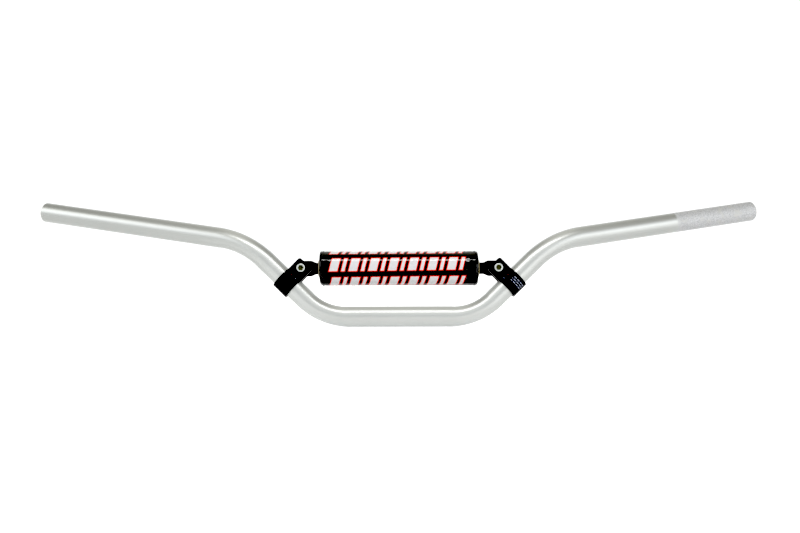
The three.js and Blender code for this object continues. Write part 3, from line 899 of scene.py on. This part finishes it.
def ring_profile():
    """The nylon ring, with its inner edge rolled outwards by the screw."""
    inner, outer, thick = SHANK_RADIUS + 0.02 * MM, 4.25 * MM, 1.1 * MM
    return [
        (inner, 0.2 * MM), (inner + 0.2 * MM, 0), (outer, 0), (outer, thick - 0.15 * MM),
        (outer - 0.2 * MM, thick), (inner + 0.5 * MM, thick), (inner + 0.25 * MM, thick + 0.2 * MM),
        (inner, thick + 0.1 * MM),
    ]


def fasteners(name, side, steel, nylon, socket):
    """One clamp's screw, washer and lock nut with its ring."""
    seat = EAR_FACE + 0.02 * MM
    nut_seat = seat + WASHER_THICKNESS + 0.02 * MM
    ring_seat = nut_seat + NUT_HEX_HEIGHT - 0.18 * MM
    paint_socket_shade(turned_piece(f"socket_screw_{name}", screw_profile(), side, -seat,
                               f"clamp_screw_{name}", [steel, socket]))
    turned_piece(f"washer_{name}", washer_profile(), side, seat,
                 f"clamp_washer_{name}", [steel], closed=True)
    turned_piece(f"lock_nut_{name}", nut_profile(), side, nut_seat,
                 f"clamp_nut_{name}", [steel], closed=True)
    turned_piece(f"nylon_ring_{name}", ring_profile(), side, ring_seat,
                 f"nut_lock_ring_{name}", [nylon], closed=True)


# --- pad: the winding angle runs from the cover's inner flap edge to its outer flap edge ---

WRAP_START = CLOSURE_ANGLE - CLOSURE_SPREAD
WRAP_END = TURN + 2 * CLOSURE_SPREAD
PAD_MIDDLE = np.array([0, 0, CROSSBAR_HEIGHT])
PRINT_ZERO = math.radians(193.2)


def wrap_radius(wound):
    """The inner radius of the cover."""
    leave = ease((wound - 2 * CLOSURE_SPREAD) / WRAP_RAMP)
    climb = ease((wound - TURN + WRAP_RAMP) / WRAP_RAMP)
    return COVER_INNER - FLAP_SINK * (1 - leave) + FLAP_LIFT * climb


def polar(radius, angle):
    """Directions round the pad: 0 is the back, a quarter turn is up."""
    return np.stack([radius * np.cos(angle), radius * np.sin(angle)], axis=-1)


def pad_ring(x, yz):
    """A pad cross-section at x, in the row frame."""
    xs = np.full(len(yz), x)
    return in_brace_plane(np.stack([xs, yz[:, 0], yz[:, 1] + CROSSBAR_HEIGHT], axis=1))


def rippled(points, size, depth):
    """Moves points by smooth noise, so that a surface isn't perfectly even."""
    moves = [noise.noise_vector(Vector(point / size)) for point in points]
    return points + depth * np.array(moves)


FOAM_END_RINGS = 17
FOAM_MIDDLE_RINGS = 24


def foam():
    """A slit foam sleeve whose two ends taper to a rounded rim."""
    bore, gap, slit = CROSSBAR_RADIUS + 0.12 * MM, 0.2 * MM, 0.25 * MM
    rim, taper, lip, inset = 8.4 * MM, 9 * MM, 2 * MM, 1.1 * MM
    slit_angle = slit / (COVER_INNER - 2.6 * MM)
    wound = np.concatenate([
        np.linspace(CLOSURE_SPREAD + slit_angle, TURN - 0.05, 150),
        np.linspace(TURN - 0.04, TURN + 0.04, 5),
        np.linspace(TURN + 0.06, TURN + CLOSURE_SPREAD - slit_angle, 12),
    ])
    step_down = ease((wound - TURN + 0.04) / 0.08)
    outer = np.where(wound < TURN - WRAP_RAMP, wrap_radius(wound), COVER_INNER) - gap
    outer = outer * (1 - step_down) + (COVER_INNER - FLAP_SINK - gap) * step_down
    turn_back = np.linspace(TURN + CLOSURE_SPREAD - slit / bore, CLOSURE_SPREAD + slit / bore, 90)
    rings = []
    shares = np.linspace(0, 1, FOAM_END_RINGS)
    shapes = [(FOAM_LOW_X + inset, -1, t) for t in shares[::-1]]
    shapes += [(FOAM_HIGH_X - inset, 1, t) for t in shares]
    for end, side, t in shapes:
        depth = taper * (1 - t) ** 1.6
        outwards = max(0.02, (depth / taper) ** 0.75)
        inwards = max(0.02, min(1, depth / lip) ** 0.5)
        x = end - side * depth
        outline = np.concatenate([
            polar(rim + (outer - rim) * outwards, WRAP_START + wound),
            polar(rim - (rim - bore) * inwards, WRAP_START + turn_back),
        ])
        rings.append(pad_ring(x, outline))
    left_of_middle, right_of_middle = rings[FOAM_END_RINGS:], rings[:FOAM_END_RINGS]
    middle = [right_of_middle[-1] * (1 - share) + left_of_middle[0] * share
              for share in np.linspace(0, 1, FOAM_MIDDLE_RINGS + 2)[1:-1]]
    rings = [rippled(ring, 5 * MM, 0.12 * MM) for ring in right_of_middle + middle + left_of_middle]
    points, faces, _ = loft(rings)
    sleeve = piece("foam_core", points, faces, "pad", "pad_foam", [tan_foam()], sharp=50)


SHEET_COLUMNS = 122
SHEET_ROWS = 150
FOAM_HOLD = 0.3
OVERSIZE = 0.011
CLOTH_STEPS = 20


def settled_sheet(columns, wound):
    """The cover's middle surface as [column, row] points, wrinkled by a cloth simulation.

    The hems and the overlap are pinned, the foam holds the rest softly, and the sheet is
    a little too large.
    """
    radius = wrap_radius(wound) + COVER_THICKNESS / 2
    grid = np.array([pad_ring(x, polar(radius, WRAP_START + wound)) for x in columns])
    rows = len(wound)
    faces = [(c * rows + r, (c + 1) * rows + r, (c + 1) * rows + r + 1, c * rows + r + 1)
             for c in range(len(columns) - 1) for r in range(rows - 1)]
    cloth = add_object("cover_cloth", new_mesh("cover_cloth", grid.reshape(-1, 3), faces))
    held = cloth.vertex_groups.new(name="held")
    under_flap = (wound < 2 * CLOSURE_SPREAD) | (wound > TURN - 0.5 * WRAP_RAMP)
    for c, x in enumerate(columns):
        hem = min(x - columns[0], columns[-1] - x) < 2 * HEM_WIDTH
        for r in range(rows):
            hold = 1.0 if under_flap[r] or hem else FOAM_HOLD
            held.add([c * rows + r], hold, "REPLACE")
    modifier = cloth.modifiers.new("cloth", "CLOTH")
    settings = modifier.settings
    settings.quality = 6
    settings.mass = 0.15
    settings.bending_stiffness = 0.5
    settings.tension_stiffness = 40
    settings.compression_stiffness = 40
    settings.vertex_group_mass = "held"
    settings.shrink_min = -OVERSIZE
    settings.use_pressure = True
    settings.uniform_pressure_force = 1
    settings.effector_weights.gravity = 0
    scene = bpy.context.scene
    for step in range(1, CLOTH_STEPS + 1):
        scene.frame_set(step)
    settled = cloth.evaluated_get(bpy.context.evaluated_depsgraph_get())
    moved = np.empty(grid.size)
    settled.data.vertices.foreach_get("co", moved)
    scene.frame_set(1)
    bpy.data.objects.remove(cloth)
    return moved.reshape(grid.shape)


def sheet_normals(grid):
    """Unit normals of a [column, row] grid of points, away from the pad's axis."""
    along = np.gradient(grid, axis=0)
    round_pad = np.gradient(grid, axis=1)
    normals = np.cross(along, round_pad)
    normals /= np.linalg.norm(normals, axis=-1, keepdims=True)
    axis_point = in_brace_plane(PAD_MIDDLE[None])[0]
    away = grid - axis_point
    away[..., 0] = 0
    return normals * np.sign((normals * away).sum(-1, keepdims=True))


# Small dents near the cover's left end: place along the pad, and angle round it.
DENTS = ((73.5 * MM, math.radians(157)), (74.5 * MM, math.radians(219)))
DENT_SIZE = 2.2 * MM
DENT_DEPTH = 0.32 * MM


def hem_shape(edge_distance):
    """The extra thickness of the folded and sewn hem, at a distance from the edge."""
    doubled = 0.42 * MM * (1 - ease((edge_distance - 4.4 * MM) / (1.2 * MM)))
    sewn = 0.3 * MM * math.exp(-((edge_distance - HEM_WIDTH) / (0.55 * MM)) ** 2)
    return doubled - sewn


def hem_droop(edge_distance, on_left, height):
    """How far the cover's edge falls in, at each height from -1 below to 1 above."""
    amount = 1.2 * MM - 0.2 * MM * height if on_left else 1.3 * MM - 1.0 * MM * height
    return amount * max(0, 1 - edge_distance / (3.6 * MM)) ** 1.6


def dented(middle, columns, wound):
    """Presses the dents into the sheet."""
    normals = sheet_normals(middle)
    for dent_x, dent_angle in DENTS:
        away = np.hypot(columns[:, None] - dent_x,
                        (WRAP_START + wound[None] - dent_angle) * COVER_INNER) / DENT_SIZE
        middle = middle - normals * (DENT_DEPTH * np.exp(-away ** 2))[..., None]
    return middle


def cover():
    """The wrapped vinyl cover, with doubled hems and rounded edges; returns its outer surface."""
    near_edge = np.array([0.0, 0.15, 0.4, 0.8]) * MM
    even = np.linspace(COVER_LOW_X + 1.3 * MM, COVER_HIGH_X - 1.3 * MM, SHEET_COLUMNS)
    columns = np.concatenate([COVER_LOW_X + near_edge, even, COVER_HIGH_X - near_edge[::-1]])
    wound = np.linspace(0, WRAP_END, SHEET_ROWS)
    middle = dented(settled_sheet(columns, wound), columns, wound)
    normals = sheet_normals(middle)
    edge_round, flap_round = 0.55 * MM, 1.2
    rows_in = np.minimum(np.arange(SHEET_ROWS), np.arange(SHEET_ROWS)[::-1])
    flap_thin = np.sqrt(np.maximum(0.1, 1 - np.maximum(0, 1 - rows_in / flap_round) ** 2))
    outer, inner = [], []
    for x, ring, normal in zip(columns, middle, normals):
        distance = min(x - columns[0], columns[-1] - x)
        extra = hem_shape(distance)
        height = np.sin(WRAP_START + wound)
        droop = -hem_droop(distance, x > PAD_X, height)[:, None]
        rounding = math.sqrt(max(0.02, 1 - max(0, 1 - distance / edge_round) ** 2))
        half = COVER_THICKNESS / 2 * rounding * flap_thin[:, None]
        outer.append(ring + normal * (half + extra * rounding + droop))
        inner.append(ring - normal * (half - droop))
    print_place = (COVER_INNER + COVER_THICKNESS) * (PRINT_ZERO - WRAP_START - wound)
    rings = [np.concatenate([o, i[::-1]]) for o, i in zip(outer, inner)]
    around = np.concatenate([print_place, print_place[::-1], print_place[:1]])
    points, faces, uvs = loft(rings, columns, around)
    surfaces = [printed_vinyl(), black_weave("woven_backing", 0.0006, 0.15 * MM)]
    thing = piece("vinyl_cover", points, faces, "pad", "pad_cover", surfaces, uvs, sharp=60)
    for face in thing.data.polygons:
        place = face.index % (2 * SHEET_ROWS)
        face.material_index = 1 if SHEET_ROWS <= place < 2 * SHEET_ROWS - 1 else 0
    return columns, wound, np.array(outer), normals


STITCH_LENGTH = 2.4 * MM
STITCH_PITCH = 3.1 * MM
STITCH_RADIUS = 0.26 * MM
STITCH_SIDES = 10


def hem_stitches(name, x, columns, wound, outer, normals):
    """A row of separate thread stitches round one hem."""
    right = int(np.searchsorted(columns, x))
    share = (x - columns[right - 1]) / (columns[right] - columns[right - 1])
    line = outer[right - 1] * (1 - share) + outer[right] * share
    up = normals[right]
    lengths = lengths_along(line)
    first = np.interp(2 * CLOSURE_SPREAD + 0.12, wound, lengths)
    points, faces = [], []
    for start in np.arange(first, lengths[-1] - STITCH_PITCH, STITCH_PITCH):
        places = start + np.linspace(0, STITCH_LENGTH, 9)
        path, lift = (np.stack([np.interp(places, lengths, curve[:, k]) for k in range(3)], axis=1)
                      for curve in (line, up))
        arch = np.sin(np.linspace(0, math.pi, 9)) ** 0.5
        path = path + lift * (0.36 * MM * arch - 0.22 * MM)[:, None]
        rings = []
        for point, out, rise in zip(path, lift, arch):
            radius = STITCH_RADIUS * (0.7 + 0.3 * rise)
            rings.append(point + radius * circle(STITCH_SIDES, np.array([1.0, 0, 0]), out))
        stitch_points, stitch_faces, _ = loft(rings)
        offset = sum(len(p) for p in points)
        points.append(stitch_points)
        faces += [tuple(offset + k for k in face) for face in stitch_faces]
    piece(f"hem_stitches_{name}", np.concatenate(points), faces, "pad",
          f"hem_thread_{name}", [black_weave(f"sewing_thread_{name}", 0.0002, 0.05 * MM)], sharp=180)


def closure_strip(name, node, inner_radius, texture):
    """A curved strip of the closure, between the cover's flaps, with a rough textile face."""
    margin, half_length, thickness = math.radians(8), 82 * MM, 0.5 * MM
    angles = np.linspace(WRAP_START + margin, WRAP_START + 2 * CLOSURE_SPREAD - margin, 36)
    outline = np.concatenate([polar(inner_radius + thickness, angles), polar(inner_radius, angles[::-1])])
    rings = [rippled(pad_ring(x, outline), texture, 0.07 * MM)
             for x in np.linspace(PAD_X - half_length, PAD_X + half_length, 150)]
    points, faces, _ = loft(rings)
    weave = black_weave(name, texture, 0.3 * MM)
    piece(name, points, faces, "pad", node, [weave], sharp=60)


def pad():
    """The foam, the cover, its closure and its hems."""
    foam()
    columns, wound, outer, normals = cover()
    flap_inner = COVER_INNER + FLAP_LIFT
    closure_strip("hook_strip", "pad_hook_strip", flap_inner - 0.65 * MM, 0.0012)
    closure_strip("loop_strip", "pad_loop_strip", flap_inner - 1.3 * MM, 0.0007)
    hem_stitches("left", columns[-1] - HEM_WIDTH, columns, wound, outer, normals)
    hem_stitches("right", columns[0] + HEM_WIDTH, columns, wound, outer, normals)


# --- studio ---

FLOOR_Z = -TUBE_RADIUS - 0.1 * MM
FLOOR_HALF_SIZE = 6.0
FLOOR_GLOW = 0.55
FLOOR_GLOW_ASIDE = 0.32
FLOOR_GLOW_FAR_LEFT = 0.5
FLOOR_GLOW_BEHIND = 0.5
# Brighter patches in front: the side, how near and how far ahead, and the light.
FLOOR_PATCHES = ((1.0, 0.06, 0.65, 0.62), (-1.0, 0.0, 0.22, 0.22))


def floor_glow(g):
    """The floor's own light at each place."""
    x, y, _ = g.node("ShaderNodeSeparateXYZ", {0: g.position()}).outputs
    glow = g.ramp(g.magnitude(x), 0.12, 0.3, FLOOR_GLOW, FLOOR_GLOW_ASIDE)
    far_left = g.times(g.step(x, 0.08, 0.3), g.step(g.minus(x, y), 0.5, 0.9))
    glow = g.plus(glow, g.times(far_left, FLOOR_GLOW_FAR_LEFT))
    glow = g.plus(glow, g.ramp(y, 0.1, 0.5, 0.0, FLOOR_GLOW_BEHIND))
    ahead = g.times(y, -1.0)
    for side, near, far, light in FLOOR_PATCHES:
        aside = g.times(x, side)
        over_x = g.minus(g.step(aside, 0.12, 0.18), g.step(aside, 0.26, 0.34))
        over_y = g.minus(g.step(ahead, near, near + 0.06), g.step(ahead, far, far + 0.12))
        glow = g.plus(glow, g.times(g.times(over_x, over_y), light))
    return glow


def floor():
    signs = ((-1, -1), (1, -1), (1, 1), (-1, 1))
    corners = [(x * FLOOR_HALF_SIZE, y * FLOOR_HALF_SIZE, FLOOR_Z) for x, y in signs]
    ground = add_object("floor", new_mesh("floor", corners, [(0, 1, 2, 3)]))
    g = material("pale_floor", Emission_Color=(1, 1, 1, 1))
    g.set("Emission Strength", floor_glow(g))
    tone = g.blend(g.noise(0.4, 2.0), (0.68, 0.68, 0.68), (0.7, 0.7, 0.7))
    ground.data.materials.append(g.finish(tone, 0.9))


HORIZON_LIGHT = 1.16
CAMERA_GAP = 0.75
CEILING_LIGHT = 0.54
CEILING_MIDDLE_LIGHT = 1.07
CEILING_ASIDE_LIGHT = 0.15
LEFT_BOX_LIGHT = 1.03
RIGHT_BOX_LIGHT = 1.35


def world():
    """Pale surroundings with a gap round the camera, a warmer ceiling, and a soft box to each side."""
    studio = bpy.data.worlds.new("studio")
    g = Graph(studio, "Background")
    direction = g.node("ShaderNodeTexCoord").outputs["Generated"]
    x, y, z = g.node("ShaderNodeSeparateXYZ", {0: direction}).outputs
    elevation = g.math("ARCSINE", z)
    azimuth = g.math("ARCTAN2", x, g.times(y, -1.0))

    def field(azimuths, edge, elevations):
        """1 inside a range of azimuths and one of elevations, in degrees, with soft edges."""
        inside = 1.0
        for value, ends, soft in ((azimuth, azimuths, edge), (elevation, elevations, 4)):
            rise, fall = (g.step(value, math.radians(end - soft), math.radians(end + soft))
                          for end in ends)
            inside = g.times(inside, g.times(rise, g.minus(1.0, fall)))
        return inside

    ceiling = g.step(elevation, math.radians(34), math.radians(44))
    aside = g.magnitude(x)
    above = g.blend(g.step(aside, 0.12, 0.36), CEILING_MIDDLE_LIGHT, CEILING_LIGHT)
    above = g.plus(above, g.times(g.step(aside, 0.5, 0.7), CEILING_ASIDE_LIGHT))
    light = g.blend(ceiling, HORIZON_LIGHT, above)
    light = g.minus(light, g.times(field((-14, 26), 6, (-10, 8)), CAMERA_GAP))
    light = g.plus(light, g.times(field((24, 85), 8, (-12, 24)), LEFT_BOX_LIGHT))
    light = g.plus(light, g.times(field((-85, -38), 8, (10, 46)), RIGHT_BOX_LIGHT))
    g.set("Strength", light)
    g.set("Color", g.blend(ceiling, (0.99, 1.0, 1.0), (1.0, 0.985, 0.925)))
    bpy.context.scene.world = studio


STRIP_LIGHT = 11.7
STRIP_LENGTH = 0.5
STRIP_WIDTH = 0.045
STRIP_ELEVATION = math.radians(61)
STRIP_DISTANCE = 0.56


def strip_light():
    """A long narrow soft box, close above and in front."""
    data = bpy.data.lights.new("strip_box", "AREA")
    data.shape = "RECTANGLE"
    data.size = STRIP_LENGTH
    data.size_y = STRIP_WIDTH
    data.energy = STRIP_LIGHT * math.pi * STRIP_LENGTH * STRIP_WIDTH
    data.use_shadow = False
    box = add_object("strip_box", data)
    ahead, up = math.cos(STRIP_ELEVATION), math.sin(STRIP_ELEVATION)
    box.location = (0, -STRIP_DISTANCE * ahead, STRIP_DISTANCE * up)
    box.rotation_euler = (QUARTER - STRIP_ELEVATION, 0, 0)
    box.visible_camera = False


VIEW_DISTANCE = 0.889
VIEW_HEIGHT = 0.0544
VIEW_YAW = math.radians(0.3)
VIEW_ROLL = math.radians(0.129)
VIEW_X = 0.24 * MM - VIEW_DISTANCE * math.sin(VIEW_YAW)
LENS_MM = 36.72
BLACK_LEVEL = 0.09


def camera():
    """A level camera in front, and a view curve that deepens the blacks."""
    data = bpy.data.cameras.new("camera")
    data.lens = LENS_MM
    viewer = add_object("camera", data)
    viewer.location = (VIEW_X, -VIEW_DISTANCE, VIEW_HEIGHT)
    viewer.rotation_euler = (QUARTER, VIEW_ROLL, -VIEW_YAW)
    bpy.context.scene.camera = viewer
    view = bpy.context.scene.view_settings
    view.view_transform = "Standard"
    view.use_curve_mapping = True
    view.curve_mapping.black_level = (BLACK_LEVEL,) * 3


# --- assembly ---

# The dark parts are kept out of the bar's blurred reflections.
DARK_PIECES = ("crossbar_tube", "foam_core", "vinyl_cover", "hook_strip", "loop_strip",
               "hem_stitches_left", "hem_stitches_right")

noise.seed_set(SEED)
bar_tube()
crossbar()
# socket is the painted shade for the inside of the screw sockets.
steel, nylon, socket = bright_steel(), blue_nylon(), painted_socket_shade()
for side_name, side_sign in (("left", 1), ("right", -1)):
    clamp(side_name, side_sign, marks=side_name == "left")
    fasteners(side_name, side_sign, steel, nylon, socket)
pad()
for piece_name in DARK_PIECES:
    bpy.data.objects[piece_name].visible_glossy = False
floor()
world()
strip_light()
camera()
